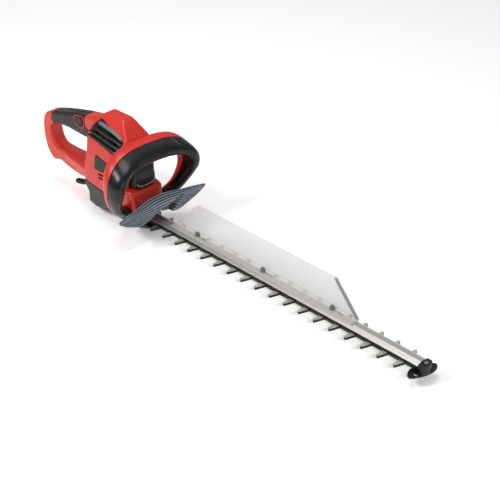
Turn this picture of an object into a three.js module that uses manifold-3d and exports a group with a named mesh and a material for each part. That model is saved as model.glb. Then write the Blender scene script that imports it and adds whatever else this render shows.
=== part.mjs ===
// Electric hedge trimmer with a long double-sided blade, a rear D-handle and a front bail handle.
// Millimetres. +X points along the blade to its tip, +Y to the tool's left, +Z up.
// Sizes are written with the top face of the teeth at z = 0 and the first exposed tooth at x = 0;
// the whole tool is then moved so that it stands on z = 0 with its plan centre on the origin.
import * as THREE from "three";
import { mergeVertices } from "three/addons/utils/BufferGeometryUtils.js";
import Module from "manifold-3d";

const wasm = await Module();
wasm.setup();

// ---- Driving dimensions ----
const GAP = 0.3; // clearance between neighbouring pieces
const WALL = 3; // moulded housing wall

const PITCH = 36; // tooth pitch
const FIRST_TOOTH = -2; // tooth numbers, counted from the first one clear of the hand guard
const LAST_TOOTH = 16;
const BLADE_THICK = 2.4;
const SPINE_HALF = 11; // half-width of a blade between its teeth
const TOOTH_REACH = 30.5; // from the blade's centre line to a tooth tip
const STROKE = 8; // each blade travels this far both ways
const BLADE_FRONT = 606;
const CARRIER_HALF = 11.5; // steel spacer rail between the blades and the cover
const CARRIER_TOP = 6.2;
const COVER_HALF = 12.7; // aluminium blade cover
const COVER_FRONT = 613;
const COVER_TOP = 12.4;
const RAIL_REAR = -92;
const BOLT_PITCH = 3 * PITCH;

const BASE_Z = -26; // underside of the gear housing
const HANDLE_REAR = -387;
const GUARD_HALF = 109; // hand guard, centre to wing tip

const MOTOR_X = -150; // motor and pinion axis
const PINION_TEETH = 8;
const GEAR_TEETH = 56;
const GEAR_MODULE = 1.25;
const CENTRE_DISTANCE = ((PINION_TEETH + GEAR_TEETH) / 2) * GEAR_MODULE + 0.2;
const GEAR_X = MOTOR_X + CENTRE_DISTANCE;
const GEAR_BOTTOM = 11;
const GEAR_TOP = 20;
const ECCENTRIC_RADIUS = 9;
const ECCENTRIC_THICK = 3;
const ECCENTRIC_BOTTOM = 4.5;

// ---- Materials ----
const paint = (color, roughness, metalness = 0) =>
  new THREE.MeshStandardMaterial({ color, roughness, metalness });
const RED = paint(0xd7371f, 0.35);
const BLACK = paint(0x2a2826, 0.55);
const RUBBER = paint(0x2e2c2b, 0.8);
const GREY = paint(0x53504d, 0.6);
const SMOKE = new THREE.MeshStandardMaterial({
  color: 0x646e7d,
  roughness: 0.35,
  metalness: 0,
  transparent: true,
  opacity: 0.8,
});
const CLEAR = new THREE.MeshStandardMaterial({
  color: 0xe4e2de,
  roughness: 0.25,
  metalness: 0,
  transparent: true,
  opacity: 0.6,
});
const ALUMINIUM = paint(0xdedbd6, 0.35, 0.8);
const STEEL = paint(0xa9a7a2, 0.35, 0.9);
const DARK_STEEL = paint(0x3a3936, 0.45, 0.7);
const COPPER = paint(0xb5693a, 0.35, 0.9);
const CARBON = paint(0x2b2b2d, 0.7);

// ---- Solids from three.js geometry ----
function toSolid(geometry) {
  const bare = new THREE.BufferGeometry();
  bare.setAttribute("position", geometry.getAttribute("position"));
  if (geometry.index) bare.setIndex(geometry.index);
  const merged = mergeVertices(bare, 1e-4);
  return new wasm.Manifold(
    new wasm.Mesh({
      numProp: 3,
      vertProperties: new Float32Array(merged.getAttribute("position").array),
      triVerts: new Uint32Array(merged.index.array),
    }),
  );
}

function toGeometry(solid) {
  const mesh = solid.getMesh();
  const geometry = new THREE.BufferGeometry();
  geometry.setAttribute("position", new THREE.BufferAttribute(mesh.vertProperties, 3));
  geometry.setIndex(new THREE.BufferAttribute(mesh.triVerts, 1));
  const flat = geometry.toNonIndexed();
  flat.computeVertexNormals();
  return flat;
}

const join = (...solids) => solids.reduce((a, b) => a.add(b));
const cut = (solid, ...tools) => tools.reduce((a, b) => a.subtract(b), solid);

function box(x0, x1, y0, y1, z0, z1) {
  const geometry = new THREE.BoxGeometry(x1 - x0, y1 - y0, z1 - z0);
  geometry.translate((x0 + x1) / 2, (y0 + y1) / 2, (z0 + z1) / 2);
  return toSolid(geometry);
}

// A round bar along "x", "y" or "z" between two coordinates on that axis, at (a, b) on the other two.
function rod(axis, radius, from, to, a, b, segments = 24, endRadius = radius) {
  const geometry = new THREE.CylinderGeometry(endRadius, radius, to - from, segments);
  const mid = (from + to) / 2;
  if (axis === "z") geometry.rotateX(Math.PI / 2).translate(a, b, mid);
  if (axis === "y") geometry.translate(a, mid, b);
  if (axis === "x") geometry.rotateZ(-Math.PI / 2).translate(mid, a, b);
  return toSolid(geometry);
}

const tube = (axis, outer, inner, from, to, a, b, segments = 32) =>
  cut(rod(axis, outer, from, to, a, b, segments), rod(axis, inner, from - 1, to + 1, a, b, segments));

// A closed outline whose corners are rounded: corners are [x, y, radius].
function roundedPath(corners, Kind = THREE.Shape) {
  const path = new Kind();
  corners.forEach(([x, y, radius = 0], i) => {
    const before = corners.at(i - 1);
    const after = corners[(i + 1) % corners.length];
    const toBefore = new THREE.Vector2(before[0] - x, before[1] - y);
    const toAfter = new THREE.Vector2(after[0] - x, after[1] - y);
    const reach = Math.min(radius, toBefore.length() * 0.45, toAfter.length() * 0.45);
    toBefore.setLength(reach);
    toAfter.setLength(reach);
    const enter = [x + toBefore.x, y + toBefore.y];
    if (i === 0) path.moveTo(...enter);
    else path.lineTo(...enter);
    if (reach > 0) path.quadraticCurveTo(x, y, x + toAfter.x, y + toAfter.y);
  });
  path.closePath();
  return path;
}

// An outline in X and Y, extruded up from z0 to z1.
function plate(corners, z0, z1, holes = [], curveSegments = 3) {
  const shape = roundedPath(corners);
  shape.holes = holes.map((hole) => roundedPath(hole, THREE.Path));
  const geometry = new THREE.ExtrudeGeometry(shape, {
    depth: z1 - z0,
    bevelEnabled: false,
    curveSegments,
  });
  geometry.translate(0, 0, z0);
  return toSolid(geometry);
}

// An outline in X and Z, extruded across the tool from y0 to y1. Its edges are rounded by `round`,
// and every face is moved inwards by `inset`.
function slab(corners, y0, y1, { round = 0, inset = 0, holes = [], curveSegments = 3, steps = 2 } = {}) {
  const shape = roundedPath(corners);
  shape.holes = holes.map((hole) => roundedPath(hole, THREE.Path));
  const geometry = new THREE.ExtrudeGeometry(shape, {
    depth: y1 - y0 - 2 * (round + inset),
    bevelEnabled: round > 0,
    bevelThickness: round,
    bevelSize: round,
    bevelOffset: -round - inset,
    bevelSegments: steps,
    curveSegments,
  });
  geometry.translate(0, 0, -(y1 - round - inset)).rotateX(Math.PI / 2);
  return toSolid(geometry);
}

// A profile in Y and Z, drawn out along X.
function channel(corners, x0, x1, holes = []) {
  const shape = roundedPath(corners);
  shape.holes = holes.map((hole) => roundedPath(hole, THREE.Path));
  const geometry = new THREE.ExtrudeGeometry(shape, {
    depth: x1 - x0,
    bevelEnabled: false,
    curveSegments: 3,
  });
  geometry.rotateX(Math.PI / 2).rotateZ(Math.PI / 2).translate(x0, 0, 0);
  return toSolid(geometry);
}

// A skin over rings of points with equal counts, closed by a fan at each end.
function loft(rings) {
  const points = rings.flat();
  const count = rings[0].length;
  const centres = [rings[0], rings.at(-1)].map((ring) =>
    ring.reduce((sum, p) => sum.add(p), new THREE.Vector3()).divideScalar(count),
  );
  const position = [...points, ...centres].flatMap((p) => p.toArray());
  const index = [];
  for (let r = 0; r + 1 < rings.length; r++)
    for (let i = 0; i < count; i++) {
      const j = (i + 1) % count;
      const [a, b, c, d] = [r * count + i, r * count + j, (r + 1) * count + j, (r + 1) * count + i];
      index.push(a, b, c, a, c, d);
    }
  const lastRing = (rings.length - 1) * count;
  for (let i = 0; i < count; i++) {
    const j = (i + 1) % count;
    index.push(points.length, j, i);
    index.push(points.length + 1, lastRing + i, lastRing + j);
  }
  const geometry = new THREE.BufferGeometry();
  geometry.setAttribute("position", new THREE.Float32BufferAttribute(position, 3));
  geometry.setIndex(index);
  const solid = toSolid(geometry);
  if (solid.volume() > 0) return solid;
  geometry.setIndex(index.reverse());
  return toSolid(geometry);
}

// The same solid on the tool's other side.
function mirrorY(solid) {
  const geometry = toGeometry(solid).scale(1, -1, 1);
  const merged = mergeVertices(geometry.deleteAttribute("normal"), 1e-4);
  merged.setIndex([...merged.index.array].reverse());
  return toSolid(merged);
}

const tool = new THREE.Group();

function piece(name, solid, material) {
  const mesh = new THREE.Mesh(toGeometry(solid), material);
  mesh.name = name;
  tool.add(mesh);
}

// A right-hand solid (negative Y) and its mirrored twin.
function pair(name, solid, material) {
  piece(`${name}_right`, solid, material);
  piece(`${name}_left`, mirrorY(solid), material);
}

const FAR = 900;
const rightHalf = (solid) => cut(solid, box(-FAR, FAR, -GAP / 2, FAR, -FAR, FAR));
const leftHalf = (solid) => cut(solid, box(-FAR, FAR, -FAR, GAP / 2, -FAR, FAR));
const overlap = (a, b) => a.intersect(b);

// ---- Housing outer form ----
// A horizontal slice of the body: front and rear x, the half-width at each, and the corner radius.
function bodySlice(z, front, rear, frontHalf, rearHalf, radius = 8) {
  const outline = roundedPath([
    [front, -frontHalf, radius],
    [front, frontHalf, radius],
    [rear, rearHalf, radius],
    [rear, -rearHalf, radius],
  ]);
  return outline
    .getPoints(3)
    .slice(0, 16)
    .map((p) => new THREE.Vector3(p.x, p.y, z));
}

// Height, front, rear, front half-width, rear half-width and corner radius. The hump above z = 140 has
// flat facets that meet in crisp ridges.
const BODY_SLICES = [
  [8, -96, -214, 40, 36, 8],
  [45, -96, -218, 42, 42, 8],
  [78, -96, -216, 42, 45, 8],
  [110, -94, -206, 41, 45, 8],
  [140, -87, -206, 36, 40, 5],
  [165, -94, -202, 28, 32, 3],
  [194, -118, -178, 14, 14, 3],
  [198, -123, -172, 11, 10, 3],
];

function bodyForm(inset) {
  const slices = BODY_SLICES.map(([z, front, rear, frontHalf, rearHalf, radius], i) => {
    const top = i === BODY_SLICES.length - 1;
    const height = top ? z - inset : i === 0 ? z - inset : z;
    return bodySlice(height, front - inset, rear + inset, frontHalf - inset, rearHalf - inset, radius);
  });
  return loft(slices);
}

const NOSE_FRONT = -70;
function noseForm(inset) {
  return loft([
    bodySlice(8 - inset, NOSE_FRONT - 4 - inset, -130, 34 - inset, 38 - inset, 12),
    bodySlice(40, NOSE_FRONT - inset, -130, 40 - inset, 42 - inset, 12),
    bodySlice(58, NOSE_FRONT - 1 - inset, -130, 40 - inset, 42 - inset, 12),
    bodySlice(64 - inset, NOSE_FRONT - 5 - inset, -130, 37 - inset, 40 - inset, 12),
  ]);
}

// The slanted joint between the red shells and the gear housing, as the outline of all that is above it.
const seamHeight = (x) => 46 - (x + 221) * 0.19;
const aboveSeam = (lift) =>
  slab(
    [
      [-420, -60],
      [-221 - Math.abs(lift) * 2, -60],
      [-221 - Math.abs(lift) * 2, seamHeight(-221) + lift],
      [-40, seamHeight(-40) + lift],
      [-40, 260],
      [-420, 260],
    ],
    -60,
    60,
  );

const HANDLE_HALF = 17;
const HANDLE_OUTLINE = [
  [-150, 178, 0],
  [-196, 177, 20],
  [-242, 169, 40],
  [-316, 151.5, 40],
  [-379, 131, 26],
  [HANDLE_REAR, 92, 40],
  [-378, 44, 30],
  [-357, 25, 14],
  [-337, 34, 8],
  [-300, 25, 20],
  [-250, 22, 20],
  [-200, 38, 10],
  [-150, 40, 0],
];
const HANDLE_HOLE = [
  [-216, 128, 6],
  [-327, 119, 10],
  [-362, 106, 14],
  [-352, 64, 16],
  [-300, 63, 20],
  [-200, 70, 10],
  [-212, 100, 10],
];
const handleForm = (inset, steps = 2) =>
  slab(HANDLE_OUTLINE, -HANDLE_HALF, HANDLE_HALF, { round: 6, inset, holes: [HANDLE_HOLE], steps });

// ---- Gear housing form ----
const GEAR_HOUSING_OUTLINE = [
  [-221, 70],
  [-221, 32],
  [-211, 18],
  [-211, -4],
  [-188, -9.5],
  [-141, 2.5],
  [-99, 5.6],
  [NOSE_FRONT, 7],
  [NOSE_FRONT, 70],
];
const gearHousingForm = (inset) => slab(GEAR_HOUSING_OUTLINE, -42, 42, { round: 6, inset });

// ---- Housing shells ----
const GRIP_THICK = 2.5;
const HANDLE_WALL = GRIP_THICK + GAP + WALL;
const GRIP_ZONE = [
  [-344, 100],
  [-348, 118],
  [-353.5, 125],
  [-348.5, 132],
  [-353, 139],
  [-344, 150],
  [-344, 200],
  [-228, 200],
  [-239, 165, 20],
  [-240, 144, 8],
  [-222, 139, 4],
  [-222, 100],
];
const gripZone = slab(GRIP_ZONE, -60, 60);

const TRIGGER_HALF = 7;
const TRIGGER_PIVOT = [-320, 122];
const BUTTON = { x: -256, z: 152, halfX: 10, halfZ: 8 };
const buttonOutline = (grow) => [
  [BUTTON.x + BUTTON.halfX + grow, BUTTON.z - BUTTON.halfZ - grow, 5],
  [BUTTON.x + BUTTON.halfX + grow, BUTTON.z + BUTTON.halfZ + grow, 5],
  [BUTTON.x - BUTTON.halfX + 4 - grow, BUTTON.z + BUTTON.halfZ + grow, 9],
  [BUTTON.x - BUTTON.halfX - grow, BUTTON.z, 9],
  [BUTTON.x - BUTTON.halfX + 4 - grow, BUTTON.z - BUTTON.halfZ - grow, 9],
];
const buttonHole = slab(buttonOutline(0.6), -30, -3);
const triggerSlot = box(-327, -231, -TRIGGER_HALF - 0.5, TRIGGER_HALF + 0.5, 105, 134);

const VENT_OUTLINE = [
  [-195, 147, 4],
  [-195, 167, 6],
  [-178, 186, 6],
  [-101, 162, 6],
  [-124, 129, 6],
];
const scaleVent = (scale) =>
  VENT_OUTLINE.map(([x, z, radius]) => [-150 + (x + 150) * scale, 162 + (z - 162) * scale, radius]);
const ventPrism = slab(VENT_OUTLINE, -60, -8);
const BADGE_DEPTH = 1;
const badgeBlock = (grow) =>
  slab(
    [
      [-181 - grow, 83 - grow, 2],
      [-143 + grow, 83 - grow, 2],
      [-134 + grow, 106 + grow, 2],
      [-175 - grow, 115 + grow, 2],
    ],
    -60,
    -30,
  );

const PADDLE = { front: -76, rear: -104, half: 26, topHalf: 20, bottom: 66, top: 119 };
const paddleFront = (grow) => [
  [-PADDLE.half - grow, PADDLE.bottom - grow * 2],
  [PADDLE.half + grow, PADDLE.bottom - grow * 2],
  [PADDLE.topHalf + grow, PADDLE.top + grow * 5],
  [-PADDLE.topHalf - grow, PADDLE.top + grow * 5],
];
const paddleRecess = channel(paddleFront(0.6), PADDLE.rear - 6, -60);

const GLAND = { y: -24, tilt: Math.atan2(4.5, 19), x: -249, z: 19, radius: 5 };
function alongGland(solid) {
  const geometry = toGeometry(solid).deleteAttribute("normal");
  geometry.rotateY(-GLAND.tilt).translate(GLAND.x, GLAND.y, GLAND.z);
  return toSolid(geometry);
}
const glandHole = alongGland(rod("x", GLAND.radius + GAP, 15, 60, 0, 0, 20));

const HOUSING_SCREWS = [
  [-371, 82],
  [-300, 44],
  [-200, 58],
];
const screwBosses = HOUSING_SCREWS.map(([x, z]) => rod("y", 5, -40, 40, x, z, 10));
const screwHoles = HOUSING_SCREWS.map(([x, z]) => rod("y", 2.4, -12, 60, x, z, 8));
const screwHeadHoles = HOUSING_SCREWS.map(([x, z]) => rod("y", 4.4, 9, 60, x, z, 12));

// The handle's lower bar widens into the body.
const flareForm = (inset) =>
  loft([
    bodySlice(35 + inset, -180, -296 + inset, 40 - inset, 13 - inset, 6),
    bodySlice(43, -180, -316 + inset, 42 - inset, 16.9 - inset, 6),
    bodySlice(56, -180, -316 + inset, 43 - inset, 16.9 - inset, 6),
    bodySlice(62 - inset, -180, -296 + inset, 42 - inset, 13 - inset, 6),
  ]);

const handleSkin = cut(handleForm(-1), handleForm(GRIP_THICK + GAP));
const outerForm = join(bodyForm(0), noseForm(0), handleForm(0), flareForm(0));
const innerForm = join(bodyForm(WALL), noseForm(WALL), handleForm(HANDLE_WALL, 1), flareForm(WALL));
const shells = cut(
  overlap(join(cut(outerForm, innerForm), overlap(join(...screwBosses), outerForm)), aboveSeam(GAP / 2)),
  overlap(handleSkin, gripZone),
  triggerSlot,
  ventPrism,
  mirrorY(ventPrism),
  paddleRecess,
  rod("z", 36.6, 5, 24, GEAR_X, 0, 48),
  ...screwHoles,
  ...screwHeadHoles,
);
const badgeSkin = cut(bodyForm(-2), bodyForm(BADGE_DEPTH + GAP));
const badgeRecess = overlap(badgeSkin, badgeBlock(GAP));
const coolingSlots = [
  [72, 76.5],
  [63, 67.5],
].map(([z0, z1]) => box(-172, -146, -60, -30, z0, z1));
const guardScrewHole = (radius) => rod("x", radius, -82, -60, -26, 32, 12);
const noseScrewWell = rod("y", 3.6, -60, -38.6, -82, 53, 12);
const rightCuts = [badgeRecess, ...coolingSlots, guardScrewHole(2.1), noseScrewWell];
const rightShell = cut(rightHalf(shells), ...rightCuts, buttonHole);
const leftShell = cut(leftHalf(shells), ...rightCuts.map(mirrorY));
piece("housing_right", rightShell, RED);
piece("housing_left", leftShell, RED);

const gripSleeve = cut(
  overlap(cut(handleForm(0), handleForm(GRIP_THICK)), gripZone),
  triggerSlot,
);
piece("grip_right", cut(rightHalf(gripSleeve), buttonHole), RUBBER);
piece("grip_left", leftHalf(gripSleeve), RUBBER);
pair("badge", overlap(cut(bodyForm(-0.5), bodyForm(BADGE_DEPTH)), badgeBlock(0)), GREY);

// Louvred inlet: a skin sunk in the opening, cut by slots that slope down towards the front.
const louvreSlots = [0, 1, 2, 3].map((i) => {
  const z = 171 - i * 9.5;
  const rear = [-172, -181, -186, -178][i];
  const front = [-114, -119, -126, -139][i];
  return slab(
    [
      [rear, z - (rear + 150) * 0.3],
      [front, z - (front + 150) * 0.3],
      [front, z - (front + 150) * 0.3 - 4.5],
      [rear, z - (rear + 150) * 0.3 - 4.5],
    ],
    -60,
    -5,
  );
});
const ventSkin = cut(bodyForm(1.5), bodyForm(3.5));
const ventPlate = overlap(ventSkin, slab(scaleVent(0.975), -60, -9));
pair("vent_grille", cut(ventPlate, ...louvreSlots), BLACK);

HOUSING_SCREWS.forEach(([x, z], i) => {
  const screw = join(rod("y", 2, -10, 9.5, x, z, 8), rod("y", 3.9, 9.3, 12, x, z, 12));
  piece(`housing_screw_${i + 1}`, screw, DARK_STEEL);
});

// ---- Rear handle controls ----
const triggerBody = slab(
  [
    [-325, 117.5, 2],
    [-325, 120.5, 2],
    [-317, 125.5, 4],
    [-240, 131, 4],
    [-233, 128, 4],
    [-234, 113.5, 5],
    [-300, 115.5, 20],
  ],
  -TRIGGER_HALF,
  TRIGGER_HALF,
  { round: 1 },
);
piece("trigger", triggerBody, BLACK);
piece("lock_button", slab(buttonOutline(0), -18.4, -7.5, { round: 1 }), BLACK);
piece("rear_switch", box(-309, -281, -5.5, 5.5, 133.5, 145), GREY);
piece("capacitor", box(-374, -366, -5.5, 5.5, 100, 118), GREY);

// ---- Cord gland ----
const glandBody = join(
  rod("x", GLAND.radius, -20, 42, 0, 0, 16),
  ...[-16, -8, 0].map((x) => rod("x", GLAND.radius + 1, x, x + 4, 0, 0, 16)),
  rod("x", GLAND.radius + 2.5, 20, 27, 0, 0, 16),
);
const glandBore = rod("x", 3.2, -30, 60, 0, 0, 12);
piece("cord_gland", alongGland(cut(glandBody, glandBore)), RUBBER);

// ---- Gear housing, plate and base ----
const gearRoom = rod("z", 38, 10, 60, GEAR_X, 0, 48);
const pinionRoom = rod("z", 9, 10, 60, MOTOR_X, 0, 24);
const eccentricRoom = rod("z", 19, -20, 12, GEAR_X, 0, 32);
const upperRoom = overlap(gearHousingForm(4), box(-FAR, FAR, -FAR, FAR, 21.5, FAR));
const rearRoom = box(-205, -166, -34, 34, -2, 40);
const railRoom = box(-94, 0, -12, 12, -20, 6.5);
const BASE_SCREWS = [
  [-190, 0],
  [-158, 20],
  [-158, -20],
];
const baseScrewHole = ([x, y]) => rod("z", 2.3, -30, 12, x, y, 8);
const railBoltX = [0, 1, 2, 3, 4, 5].map((i) => -80 + i * BOLT_PITCH + (i > 0 ? 12 : 0));
const grownGearForm = gearHousingForm(-GAP);
const belowSeam = overlap(gearHousingForm(0), box(-FAR, FAR, -FAR, FAR, -40, 60));
piece(
  "gear_housing",
  cut(
    belowSeam,
    aboveSeam(-GAP / 2),
    gearRoom,
    pinionRoom,
    eccentricRoom,
    upperRoom,
    rearRoom,
    railRoom,
    rod("z", 5.5, 0, 12, railBoltX[0], 0, 20),
    glandHole,
    ...BASE_SCREWS.map(baseScrewHole),
  ),
  GREY,
);

const plateOutline = [
  [-200, -32, 8],
  [-200, 32, 8],
  [-78, 32, 20],
  [-78, -32, 20],
];
const BEARING_Z = 34;
const gearPlate = cut(
  join(plate(plateOutline, 22, 26), rod("z", 14, 25, BEARING_Z + 8, MOTOR_X, 0, 32)),
  rod("z", 11.3, BEARING_Z - 0.3, 60, MOTOR_X, 0, 32),
  rod("z", 6, 0, 60, MOTOR_X, 0, 24),
  rod("z", 4.3, 0, 60, GEAR_X, 0, 24),
);
piece("gear_plate", gearPlate, ALUMINIUM);

const baseForm = loft([
  bodySlice(BASE_Z, -88, -192, 15, 18),
  bodySlice(-22, -74, -202, 17, 24),
  bodySlice(-14, -52, -208, 18, 34),
  bodySlice(-6.3, -36, -209, 18, 38),
  bodySlice(9, -36, -209, 18, 38),
]);
const aboveTongue = join(
  box(-88, 0, -60, 60, -6.3, 20),
  box(-165, -80, -23.5, 23.5, -6.3, 20),
  box(-125, 0, -60, 60, 1, 20),
);
const baseHollow = cut(
  loft([
    bodySlice(BASE_Z + 3, -94, -189, 12, 15),
    bodySlice(-14, -66, -202, 14, 30),
    bodySlice(-5, -56, -202, 14, 32),
  ]),
  ...BASE_SCREWS.map(([x, y]) => rod("z", 5, -40, 0, x, y, 16)),
  box(-120, -100, -40, 40, -40, 0),
);
piece(
  "base_cover",
  cut(
    baseForm,
    grownGearForm,
    aboveTongue,
    rod("z", 5.4, -9, 0, railBoltX[0], 0, 20),
    overlap(baseHollow, join(box(-FAR, FAR, -FAR, FAR, -40, -10), box(-162, -90, -22, 22, -40, 0))),
    ...BASE_SCREWS.map(baseScrewHole),
    ...BASE_SCREWS.map(([x, y]) => rod("z", 4.2, -40, -19.4, x, y, 16)),
  ),
  BLACK,
);
BASE_SCREWS.forEach(([x, y], i) => {
  const screw = join(rod("z", 1.8, -20, 0, x, y, 8), rod("z", 3.8, -22.5, -19.7, x, y, 12));
  piece(`base_screw_${i + 1}`, screw, STEEL);
});

// ---- Motor ----
const SHAFT = 4;
const ringAt = (outer, inner, z0, z1, segments = 20) =>
  tube("z", outer, inner, z0, z1, MOTOR_X, 0, segments);
const STATOR = { bottom: 64, top: 112, outer: 31, inner: 19 };
piece("stator", ringAt(STATOR.outer, STATOR.inner, STATOR.bottom, STATOR.top, 32), COPPER);
const armatureCore = rod("z", STATOR.inner - 1, 68, 118, MOTOR_X, 0, 24);
const shaft = rod("z", SHAFT, GEAR_BOTTOM - 0.5, 166, MOTOR_X, 0, 20);
piece("armature", join(armatureCore, shaft), COPPER);
piece("commutator", ringAt(11, SHAFT + GAP, 128, 146, 24), COPPER);
piece("bearing_lower", ringAt(11, SHAFT + GAP, BEARING_Z, BEARING_Z + 7), STEEL);
piece("bearing_upper", ringAt(11, SHAFT + GAP, 156, 163), STEEL);
const fanBlades = [0, 1, 2, 3, 4, 5, 6, 7, 8].map((i) => {
  const blade = new THREE.BoxGeometry(18, 1.6, 8.5).translate(20, 0, 53.5);
  blade.rotateZ((i * Math.PI * 2) / 9).translate(MOTOR_X, 0, 0);
  return toSolid(blade);
});
const fanDisc = join(rod("z", 29, 47.5, 50, MOTOR_X, 0, 36), rod("z", 9, 47.5, 58, MOTOR_X, 0, 24));
const fanBore = rod("z", SHAFT + GAP, 40, 70, MOTOR_X, 0, 20);
piece("fan", cut(join(fanDisc, ...fanBlades), fanBore), BLACK);

const BRUSH_Z = 137;
const brush = box(MOTOR_X - 4, MOTOR_X + 4, -24, -11.4, BRUSH_Z - 3.5, BRUSH_Z + 3.5);
const holderBore = box(MOTOR_X - 4.3, MOTOR_X + 4.3, -25, 0, BRUSH_Z - 3.8, BRUSH_Z + 3.8);
const holder = cut(box(MOTOR_X - 6, MOTOR_X + 6, -27, -13, BRUSH_Z - 5.5, BRUSH_Z + 5.5), holderBore);
pair("brush", brush, CARBON);
pair("brush_holder", holder, COPPER);

// ---- Drive gears and eccentrics ----
function toothedOutline(teeth, radius, addendum, dedendum, phase) {
  const points = [];
  for (let i = 0; i < teeth; i++)
    for (const [turn, r] of [
      [0.12, radius - dedendum],
      [0.38, radius + addendum],
      [0.62, radius + addendum],
      [0.88, radius - dedendum],
    ]) {
      const angle = ((i + turn + phase) * Math.PI * 2) / teeth;
      points.push([r * Math.cos(angle), r * Math.sin(angle)]);
    }
  return points;
}
function gear(teeth, z0, z1, x, addendum, dedendum, phase = 0) {
  const outline = toothedOutline(teeth, (teeth * GEAR_MODULE) / 2, addendum, dedendum, phase);
  return plate(outline.map(([px, py]) => [px + x, py]), z0, z1);
}
const pinionBody = gear(PINION_TEETH, GEAR_BOTTOM, GEAR_TOP + 1, MOTOR_X, 0.6, 0.4, 0.5);
piece("pinion", cut(pinionBody, rod("z", SHAFT + GAP, 0, 60, MOTOR_X, 0, 20)), STEEL);
const AXLE = 4;
const axleBore = rod("z", AXLE + GAP, -10, 60, GEAR_X, 0, 20);
piece("drive_gear", cut(gear(GEAR_TEETH, GEAR_BOTTOM, GEAR_TOP, GEAR_X, 0.4, 1.4), axleBore), STEEL);
const disc = (z0, offset) =>
  cut(rod("z", ECCENTRIC_RADIUS, z0, z0 + ECCENTRIC_THICK, GEAR_X, offset, 32), axleBore);
const ECCENTRIC_TOP = GEAR_BOTTOM - GAP;
piece("eccentric_upper", disc(ECCENTRIC_TOP - ECCENTRIC_THICK, STROKE), STEEL);
piece("eccentric_lower", disc(ECCENTRIC_BOTTOM, -STROKE), STEEL);
piece("gear_axle", rod("z", AXLE, 3.5, 26, GEAR_X, 0, 20), STEEL);

// ---- Blades ----
function bladeOutline() {
  const side = (sign) => {
    const points = [];
    for (let tooth = FIRST_TOOTH; tooth <= LAST_TOOTH; tooth++) {
      const x = tooth * PITCH;
      points.push([x - 2, sign * (SPINE_HALF - 1)]);
      points.push([x - 1.5, sign * 28]);
      points.push([x + 1.5, sign * TOOTH_REACH]);
      points.push([x + 4, sign * 28.5]);
      points.push([x + 10, sign * (SPINE_HALF - 1)]);
    }
    return points;
  };
  const tail = GEAR_X - 22;
  return [
    [tail, 21, 6],
    [GEAR_X + 16, 21, 6],
    [GEAR_X + 26, 10, 4],
    ...side(1),
    [BLADE_FRONT, 10, 6],
    [BLADE_FRONT, -10, 6],
    ...side(-1).reverse(),
    [GEAR_X + 26, -10, 4],
    [GEAR_X + 16, -21, 6],
    [tail, -21, 6],
  ];
}
const slotHalf = STROKE + 3;
const boltSlots = railBoltX.map((x) => [
  [x - slotHalf, -3, 2.9],
  [x + slotHalf, -3, 2.9],
  [x + slotHalf, 3, 2.9],
  [x - slotHalf, 3, 2.9],
]);
const yokeHalf = ECCENTRIC_RADIUS + GAP;
const yoke = [
  [GEAR_X - yokeHalf, -STROKE - yokeHalf, 2],
  [GEAR_X + yokeHalf, -STROKE - yokeHalf, 2],
  [GEAR_X + yokeHalf, STROKE + yokeHalf, 2],
  [GEAR_X - yokeHalf, STROKE + yokeHalf, 2],
];
const blade = (z) => plate(bladeOutline(), z - BLADE_THICK, z, [...boltSlots, yoke], 2);
piece("blade_upper", blade(0), STEEL);
piece("blade_lower", blade(-BLADE_THICK - GAP), STEEL);

// ---- Rail, cover and guide bolts ----
const RAIL_FRONT = 626;
const boltHoles = railBoltX.map((x) => rod("z", 3, -20, 20, x, 0, 10));
const rail = join(
  box(RAIL_REAR, COVER_FRONT - 1, -CARRIER_HALF, CARRIER_HALF, GAP, CARRIER_TOP),
  box(COVER_FRONT - 2, RAIL_FRONT, -8, 8, GAP, CARRIER_TOP),
);
const alongTipScrew = (radius, from, to) => rod("z", radius, from, to, 621, 0, 16);
piece("carrier_rail", cut(rail, ...boltHoles, alongTipScrew(2.4, -20, 20)), DARK_STEEL);
railBoltX.forEach((x, i) => {
  const head = rod("z", 4.6, CARRIER_TOP + GAP, CARRIER_TOP + 3, x, 0, 8);
  const stem = rod("z", 2.6, -8, CARRIER_TOP + 1, x, 0, 8);
  const nut = rod("z", 4.8, -8.6, -BLADE_THICK * 2 - 2 * GAP, x, 0, 6);
  piece(`guide_bolt_${i + 1}`, join(head, stem, nut), STEEL);
});

const COVER_REAR = NOSE_FRONT + 2;
const coverProfile = [
  [-COVER_HALF, CARRIER_TOP + 0.6, 0],
  [-COVER_HALF, 8, 0],
  [-8.7, 10, 2],
  [-5, COVER_TOP, 4],
  [5, COVER_TOP, 4],
  [8.7, 10, 2],
  [COVER_HALF, 8, 0],
  [COVER_HALF, CARRIER_TOP + 0.6, 0],
  [8, CARRIER_TOP + 0.6, 0],
  [6, 9.8, 2],
  [-6, 9.8, 2],
  [-8, CARRIER_TOP + 0.6, 0],
];
piece("blade_cover", channel(coverProfile, COVER_REAR, COVER_FRONT), ALUMINIUM);

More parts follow.
